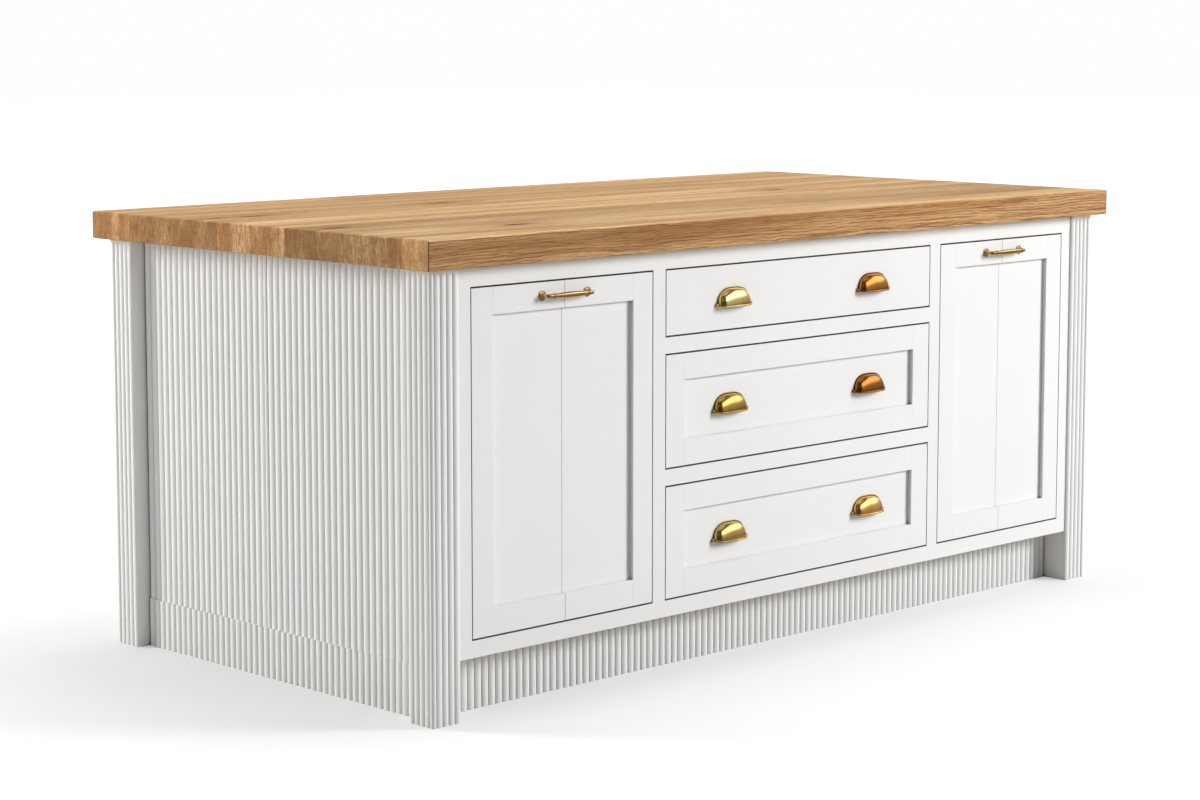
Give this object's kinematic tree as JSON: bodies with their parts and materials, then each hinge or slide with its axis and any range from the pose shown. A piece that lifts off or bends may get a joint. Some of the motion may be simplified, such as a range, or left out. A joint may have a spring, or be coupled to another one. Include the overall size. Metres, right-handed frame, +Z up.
{
  "type": "kitchen island",
  "caption": "Freestanding kitchen island with an oak worktop, fluted corner posts, reeded sides and plinth, inset drawers with cup pulls and tall pull-outs with bar handles.",
  "frame": {"origin": "on the floor under the middle of the worktop", "axes": "+X to the right along the front, +Y towards the back, +Z up"},
  "size_m": [2.05, 1.05, 0.9],
  "materials": {
    "oak": "oiled oak",
    "painted_timber": "satin off-white paint on timber",
    "birch": "lacquered birch plywood",
    "brass": "polished aged brass",
    "steel": "zinc plated",
    "black_plastic": "moulded",
    "grey_plastic": "moulded"
  },
  "bodies": {
    "island": {"worktop": "oak", "post_front_left": "painted_timber", "post_front_right": "painted_timber", "post_back_left": "painted_timber", "post_back_right": "painted_timber", "face_rails": "painted_timber", "face_stiles": "painted_timber", "side_panels_left": "painted_timber", "side_panels_right": "painted_timber", "back_panels": "painted_timber", "side_skirtings": "painted_timber", "back_skirting": "painted_timber", "front_plinth": "painted_timber", "side_battens": "birch", "cabinet_sides": "birch", "partitions": "birch", "cabinet_floor": "birch", "cabinet_backs": "birch", "top_stretchers": "birch", "runner_packers": "birch", "adjustable_legs": "black_plastic", "plinth_clips": "black_plastic", "runner_channels": "steel"},
    "drawer_1": {"drawer_1_front": "painted_timber", "drawer_1_box": "birch", "drawer_1_cups": "brass", "drawer_1_screws": "steel", "drawer_1_slides": "steel"},
    "drawer_2": {"drawer_2_front_frame": "painted_timber", "drawer_2_front_panel": "painted_timber", "drawer_2_box": "birch", "drawer_2_cups": "brass", "drawer_2_screws": "steel", "drawer_2_slides": "steel"},
    "drawer_3": {"drawer_3_front_frame": "painted_timber", "drawer_3_front_panel": "painted_timber", "drawer_3_box": "birch", "drawer_3_cups": "brass", "drawer_3_screws": "steel", "drawer_3_slides": "steel"},
    "left_pullout": {"left_front_frame": "painted_timber", "left_front_panels": "painted_timber", "left_carrier": "birch", "left_bins": "grey_plastic", "left_handle": "brass", "left_screws": "steel", "left_slides": "steel"},
    "right_pullout": {"right_front_frame": "painted_timber", "right_front_panels": "painted_timber", "right_carrier": "birch", "right_handle": "brass", "right_screws": "steel", "right_slides": "steel"},
    "drawer_1_runner": {"drawer_1_middles": "steel"},
    "drawer_2_runner": {"drawer_2_middles": "steel"},
    "drawer_3_runner": {"drawer_3_middles": "steel"},
    "left_pullout_runner": {"left_middles": "steel"},
    "right_pullout_runner": {"right_middles": "steel"}
  },
  "joints": [
    {"name": "drawer_1_slide", "type": "slide", "parent": "island", "child": "drawer_1", "axis": [0, -1, 0], "range_m": [0, 0.45]},
    {"name": "drawer_1_runner_slide", "type": "slide", "parent": "island", "child": "drawer_1_runner", "axis": [0, -1, 0], "range_m": [0, 0.225]},
    {"name": "drawer_2_slide", "type": "slide", "parent": "island", "child": "drawer_2", "axis": [0, -1, 0], "range_m": [0, 0.45]},
    {"name": "drawer_2_runner_slide", "type": "slide", "parent": "island", "child": "drawer_2_runner", "axis": [0, -1, 0], "range_m": [0, 0.225]},
    {"name": "drawer_3_slide", "type": "slide", "parent": "island", "child": "drawer_3", "axis": [0, -1, 0], "range_m": [0, 0.45]},
    {"name": "drawer_3_runner_slide", "type": "slide", "parent": "island", "child": "drawer_3_runner", "axis": [0, -1, 0], "range_m": [0, 0.225]},
    {"name": "left_pullout_slide", "type": "slide", "parent": "island", "child": "left_pullout", "axis": [0, -1, 0], "range_m": [0, 0.45]},
    {"name": "left_pullout_runner_slide", "type": "slide", "parent": "island", "child": "left_pullout_runner", "axis": [0, -1, 0], "range_m": [0, 0.225]},
    {"name": "right_pullout_slide", "type": "slide", "parent": "island", "child": "right_pullout", "axis": [0, -1, 0], "range_m": [0, 0.45]},
    {"name": "right_pullout_runner_slide", "type": "slide", "parent": "island", "child": "right_pullout_runner", "axis": [0, -1, 0], "range_m": [0, 0.225]}
  ],
  "couplings": [
    {"joint": "drawer_1_runner_slide", "follows": "drawer_1_slide", "ratio": 0.5},
    {"joint": "drawer_2_runner_slide", "follows": "drawer_2_slide", "ratio": 0.5},
    {"joint": "drawer_3_runner_slide", "follows": "drawer_3_slide", "ratio": 0.5},
    {"joint": "left_pullout_runner_slide", "follows": "left_pullout_slide", "ratio": 0.5},
    {"joint": "right_pullout_runner_slide", "follows": "right_pullout_slide", "ratio": 0.5}
  ]
}
